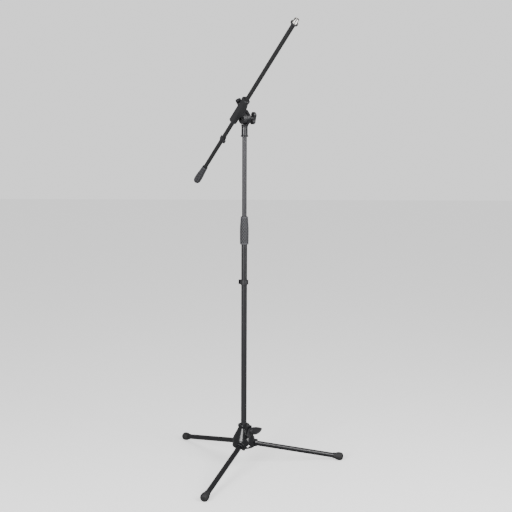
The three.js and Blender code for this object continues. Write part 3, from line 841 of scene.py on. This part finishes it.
def head_yoke():
    """A socket for the tube, drawn up into one cheek of the tilt joint. z = 0 on the tilt axis."""
    lip = 1155 - HEAD_Z
    top = -TILT_RADIUS - 1.2
    neck = revolve([
        (lip, 0), (lip, 12.2), (lip + 1, 13), (lip + 3.5, 13), (lip + 6, 10.8), (top - 10, 10.6),
        (top - 6, 11), (top - 0.8, 12.2), (top, 11.4), (top, 0)], 96, 0.8)
    radius = TILT_RADIUS + 0.5
    side = math.degrees(0.4)
    outline = ([(-10, -35), (10, -35)]
               + arc(0, 0, radius, -side, 49, 20) + arc(5, 20, 8, 28, 143, 16)
               + arc(0, 0, radius, 129, 180 + side, 20))
    cheek = along_x(plate(outline, YOKE_FACE, YOKE_BACK))
    flare = revolve([(-40, 0), (-40, 10.4), (-29, 10.4), (-22, 13), (-12, 21), (-4, 30), (40, 30),
                     (40, 0)], 96, 1.5)
    cheek = common(cheek, flare)
    return cut(join(neck, cheek), rod(8.3, lip - 5, 1186.3 - HEAD_Z, 96),
               along_x(rod(4.3, -5, 20, 48)))


KNOB_STEM, KNOB_HEIGHT, KNOB_INSERT_TO = 1.5, 14, 10.5
KNOB_DOME = 70  # radius of the face between the lobes' ends


def t_knob(stem_from=0):
    """A two-lobed knob about z, with a domed top and a blind hole."""
    lobe, place = 9.5, 12
    pinch = math.degrees(0.94)
    outline = arc(place, 0, lobe, -126, 126, 28)
    x, y = lobe * math.cos(0.94) - place, lobe * math.sin(0.94)
    outline += bezier(outline[-1], (3, 7.4), (-3, 7.4), (x, y), 10)[1:-1]
    outline += arc(-place, 0, lobe, pinch, 360 - pinch, 28)
    outline += bezier((x, -y), (-3, -7.4), (3, -7.4), outline[0], 10)[1:-1]
    bar = plate(outline, KNOB_STEM, KNOB_HEIGHT)
    dome = shifted(along_y(rod(KNOB_DOME, -30, 30, 256)), z=KNOB_HEIGHT - KNOB_DOME)
    stem = revolve([(stem_from, 0), (stem_from, 8), (KNOB_STEM - 1, 7.6), (KNOB_STEM + 3, 8),
                    (KNOB_STEM + 3, 0)], 64, 0.5)
    return cut(join(common(bar, dome), stem), rod(6.3, -1, KNOB_INSERT_TO + GAP, 64),
               rod(4.3, stem_from - 1, KNOB_INSERT_TO + 1, 48))


def hexagon_head(radius, start, end):
    """A hexagonal bolt head with its corners chamfered on the outer face."""
    head = plate([(radius * math.cos(math.radians(60 * i)), radius * math.sin(math.radians(60 * i)))
                  for i in range(6)], start, end)
    cone = revolve([(start, 0), (start, radius - 1.1), (start + 1.4, radius + 0.6),
                    (end, radius + 0.6), (end, 0)], 96, 0)
    return common(head, cone)


TILT_KNOB_AT = 15.5 + 12
TILT_KNOB_TURN = 16.6


def build_head():
    show(moulded(head_yoke(), 0.4, 5), tilt, "head_yoke")
    show(along_x(ring(18, 4.3, 0.5, YOKE_FACE - GAP, 128, 0.3)), tilt, "tilt_friction_disc", True)
    show(along_x(ring(9, 4.3, YOKE_BACK + GAP, 15.2, 96, 0.3)), tilt, "tilt_washer", True)
    knob = moved(moulded(t_knob(-12), 0.4, 4), ALONG_X @ Matrix.Rotation(math.pi / 2, 4, "Z"))
    knob_at = (tilt @ Matrix.Translation((TILT_KNOB_AT, 0, 0))
               @ Matrix.Rotation(math.radians(TILT_KNOB_TURN), 4, "X"))
    show(knob, knob_at, "tilt_knob_handle")


# ---------------------------------------------------------------- boom holder

SLEEVE_FROM, SLEEVE_TO = -19, 94
HOLDER_DISC_FROM = 23.5  # along the tilt axis from the boom's axis
BOLT_HEAD_FROM, BOLT_HEAD_TO = 26, 31.2
CLAMP_KNOB_TURN = -40


def boom_holder():
    sleeve = plate(rounded_box(-10, 10, -9, 15, 4), SLEEVE_FROM, SLEEVE_TO)
    collar = plate(rounded_box(-11, 11, -10, 16, 5), SLEEVE_TO - 9, SLEEVE_TO - 1)
    web = [(14, -17), (9, -17), (9, 2), (4, 9), (-8, 13), (-8, 28), (-2, 50), (4, 66), (14, 72)]
    arm = along_x(plate(fillet(web, 3), 6, HOLDER_DISC_FROM - 3))
    disc = along_x(rod(TILT_RADIUS, HOLDER_DISC_FROM, BOOM_OFFSET + 0.2, 128))
    bridge = common(
        along_x(plate(web, HOLDER_DISC_FROM - 6, HOLDER_DISC_FROM + 2)),
        along_x(rod(TILT_RADIUS - 0.2, HOLDER_DISC_FROM - 7, HOLDER_DISC_FROM + 3, 128)))
    return cut(
        join(sleeve, collar, arm, disc, bridge),
        rod(7.3, SLEEVE_FROM - 5, SLEEVE_TO + 5, 96),
        shifted(along_y(rod(6.3, 0, 30, 64)), z=CLAMP_PLACE),
        along_x(rod(4.3, 15, BOOM_OFFSET + 10, 48)),
        along_x(rod(8.2, 15, BOLT_HEAD_TO + GAP, 6)))


def build_holder():
    show(moulded(boom_holder(), 0.45, 5), boom, "boom_holder")
    bolt = join(hexagon_head(7.6, BOLT_HEAD_FROM, BOLT_HEAD_TO),
                rod(4, BOLT_HEAD_TO - 0.7, BOOM_OFFSET + TILT_KNOB_AT + KNOB_INSERT_TO, 64, 0.5))
    show(along_x(bolt), boom, "pivot_bolt", True)
    show(along_y(ring(6, 4.3, 9.8, 14.7, 64)), clamp, "boom_clamp_insert", True)
    knob_at = clamp @ Matrix.Rotation(math.radians(CLAMP_KNOB_TURN - 90), 4, "Y")
    show(along_y(rod(4, 9.7, 15.6 + KNOB_INSERT_TO, 64, 0.4)), knob_at, "boom_clamp_screw", True)
    knob = shifted(along_y(turned(moulded(t_knob(), 0.4, 4), 90)), y=15.6)
    show(knob, knob_at, "boom_clamp_knob")


# ---------------------------------------------------------------- boom

BOOM_FROM, BOOM_TO = -349, 446
TIP = 468
REAR_FROM, REAR_TO = -355, -268


def knurl(angle, t, r):
    """Fine straight ribs round the lock ring's rim."""
    return -0.35 * max(0, math.cos(angle * 36)) if r > 11.5 else 0


def thread(pitch, depth, low, high, least, most):
    """A screw thread's ridges between two places, on surfaces within a range of radius."""
    def relief(angle, t, r):
        if not (least < r < most and low < t < high):
            return 0
        phase = (t / pitch - angle / (2 * math.pi)) % 1
        fade = min(1, (t - low) / pitch, (high - t) / pitch)
        return -depth * fade * abs(2 * phase - 1)
    return relief


def thread_adapter():
    start, seat = BOOM_TO + 6.6, BOOM_TO + 8.2
    outer, flange = 7.94, 9.8
    rows = [(seat + i * 0.15, outer) for i in range(1, int((TIP - 0.8 - seat) / 0.15))]
    profile = [(start, 5), (start, flange - 0.3), (start + 0.3, flange), (seat - 0.3, flange),
               (seat, flange - 0.3), (seat, outer), *rows,
               (TIP - 0.6, outer - 0.3), (TIP, outer - 1), (TIP, 5.4), (TIP - 0.5, 5)]
    return revolve(profile, 96, 0, thread(0.94, 0.55, seat + 0.6, TIP - 0.5, 7.5, 8.5))


def end_stud():
    low, high = BOOM_TO + 0.5, TIP - 3.6
    rows = [(low + i * 0.25, 4.65) for i in range(int((high - low) / 0.25))]
    profile = [(BOOM_TO - 28, 0), (BOOM_TO - 28, 5.7), (BOOM_TO - 1, 5.7), (BOOM_TO - 1, 4.65), *rows,
               (TIP - 3.4, 4.3), (TIP - 3, 3.8), (TIP - 3, 0)]
    return revolve(profile, 72, 0, thread(1.5875, 0.7, low, high, 4.2, 5))


def rear_grip():
    outside = smooth_rows([
        (REAR_FROM, 3), (REAR_FROM + 0.6, 6), (REAR_FROM + 4, 10), (REAR_FROM + 10, 12.2),
        (REAR_FROM + 20, 12.8), (REAR_FROM + 40, 12.2), (REAR_FROM + 65, 10.4),
        (REAR_TO - 1, 9.6), (REAR_TO, 8.8)], 0.5)
    profile = [(REAR_FROM, 0), *outside, (REAR_TO, 7.3), (BOOM_FROM - GAP, 7.3), (BOOM_FROM - GAP, 0)]
    return revolve(profile, 192, 0, lattice(10, 10, 0.7, REAR_FROM + 9, REAR_TO - 3, 8.9))


def build_boom():
    show(ring(7, 6, BOOM_FROM, BOOM_TO, 128), boom, "boom_tube", True)
    show(end_stud(), boom, "boom_end_stud")
    show(revolve([
        (BOOM_TO + 0.3, 5), (BOOM_TO + 0.3, 10), (BOOM_TO + 2, 12.4), (BOOM_TO + 5.5, 12.4),
        (BOOM_TO + 6.3, 11.6), (BOOM_TO + 6.3, 5)], 288, 0.3, knurl), boom, "adapter_lock_ring", True)
    show(thread_adapter(), boom, "thread_adapter", True)
    show(rear_grip(), boom, "boom_rear_grip")
    clip_side = Matrix.Rotation(math.radians(-90), 4, "Z")
    show(moulded(cable_clip(7, -113, 14), 0.3, 4), boom @ clip_side, "boom_cable_clip")


def dress_remaining_nodes():
    """The CAD nodes that stay take their slot's material."""
    for name, node in frame["nodes"].items():
        if node.hide_render:
            continue
        node.data.materials.clear()
        node.data.materials.append(MATERIALS[NODE_SLOT[name]])


add_camera()
add_stage()
build_hub()
build_legs()
build_column()
build_head()
build_holder()
build_boom()
dress_remaining_nodes()
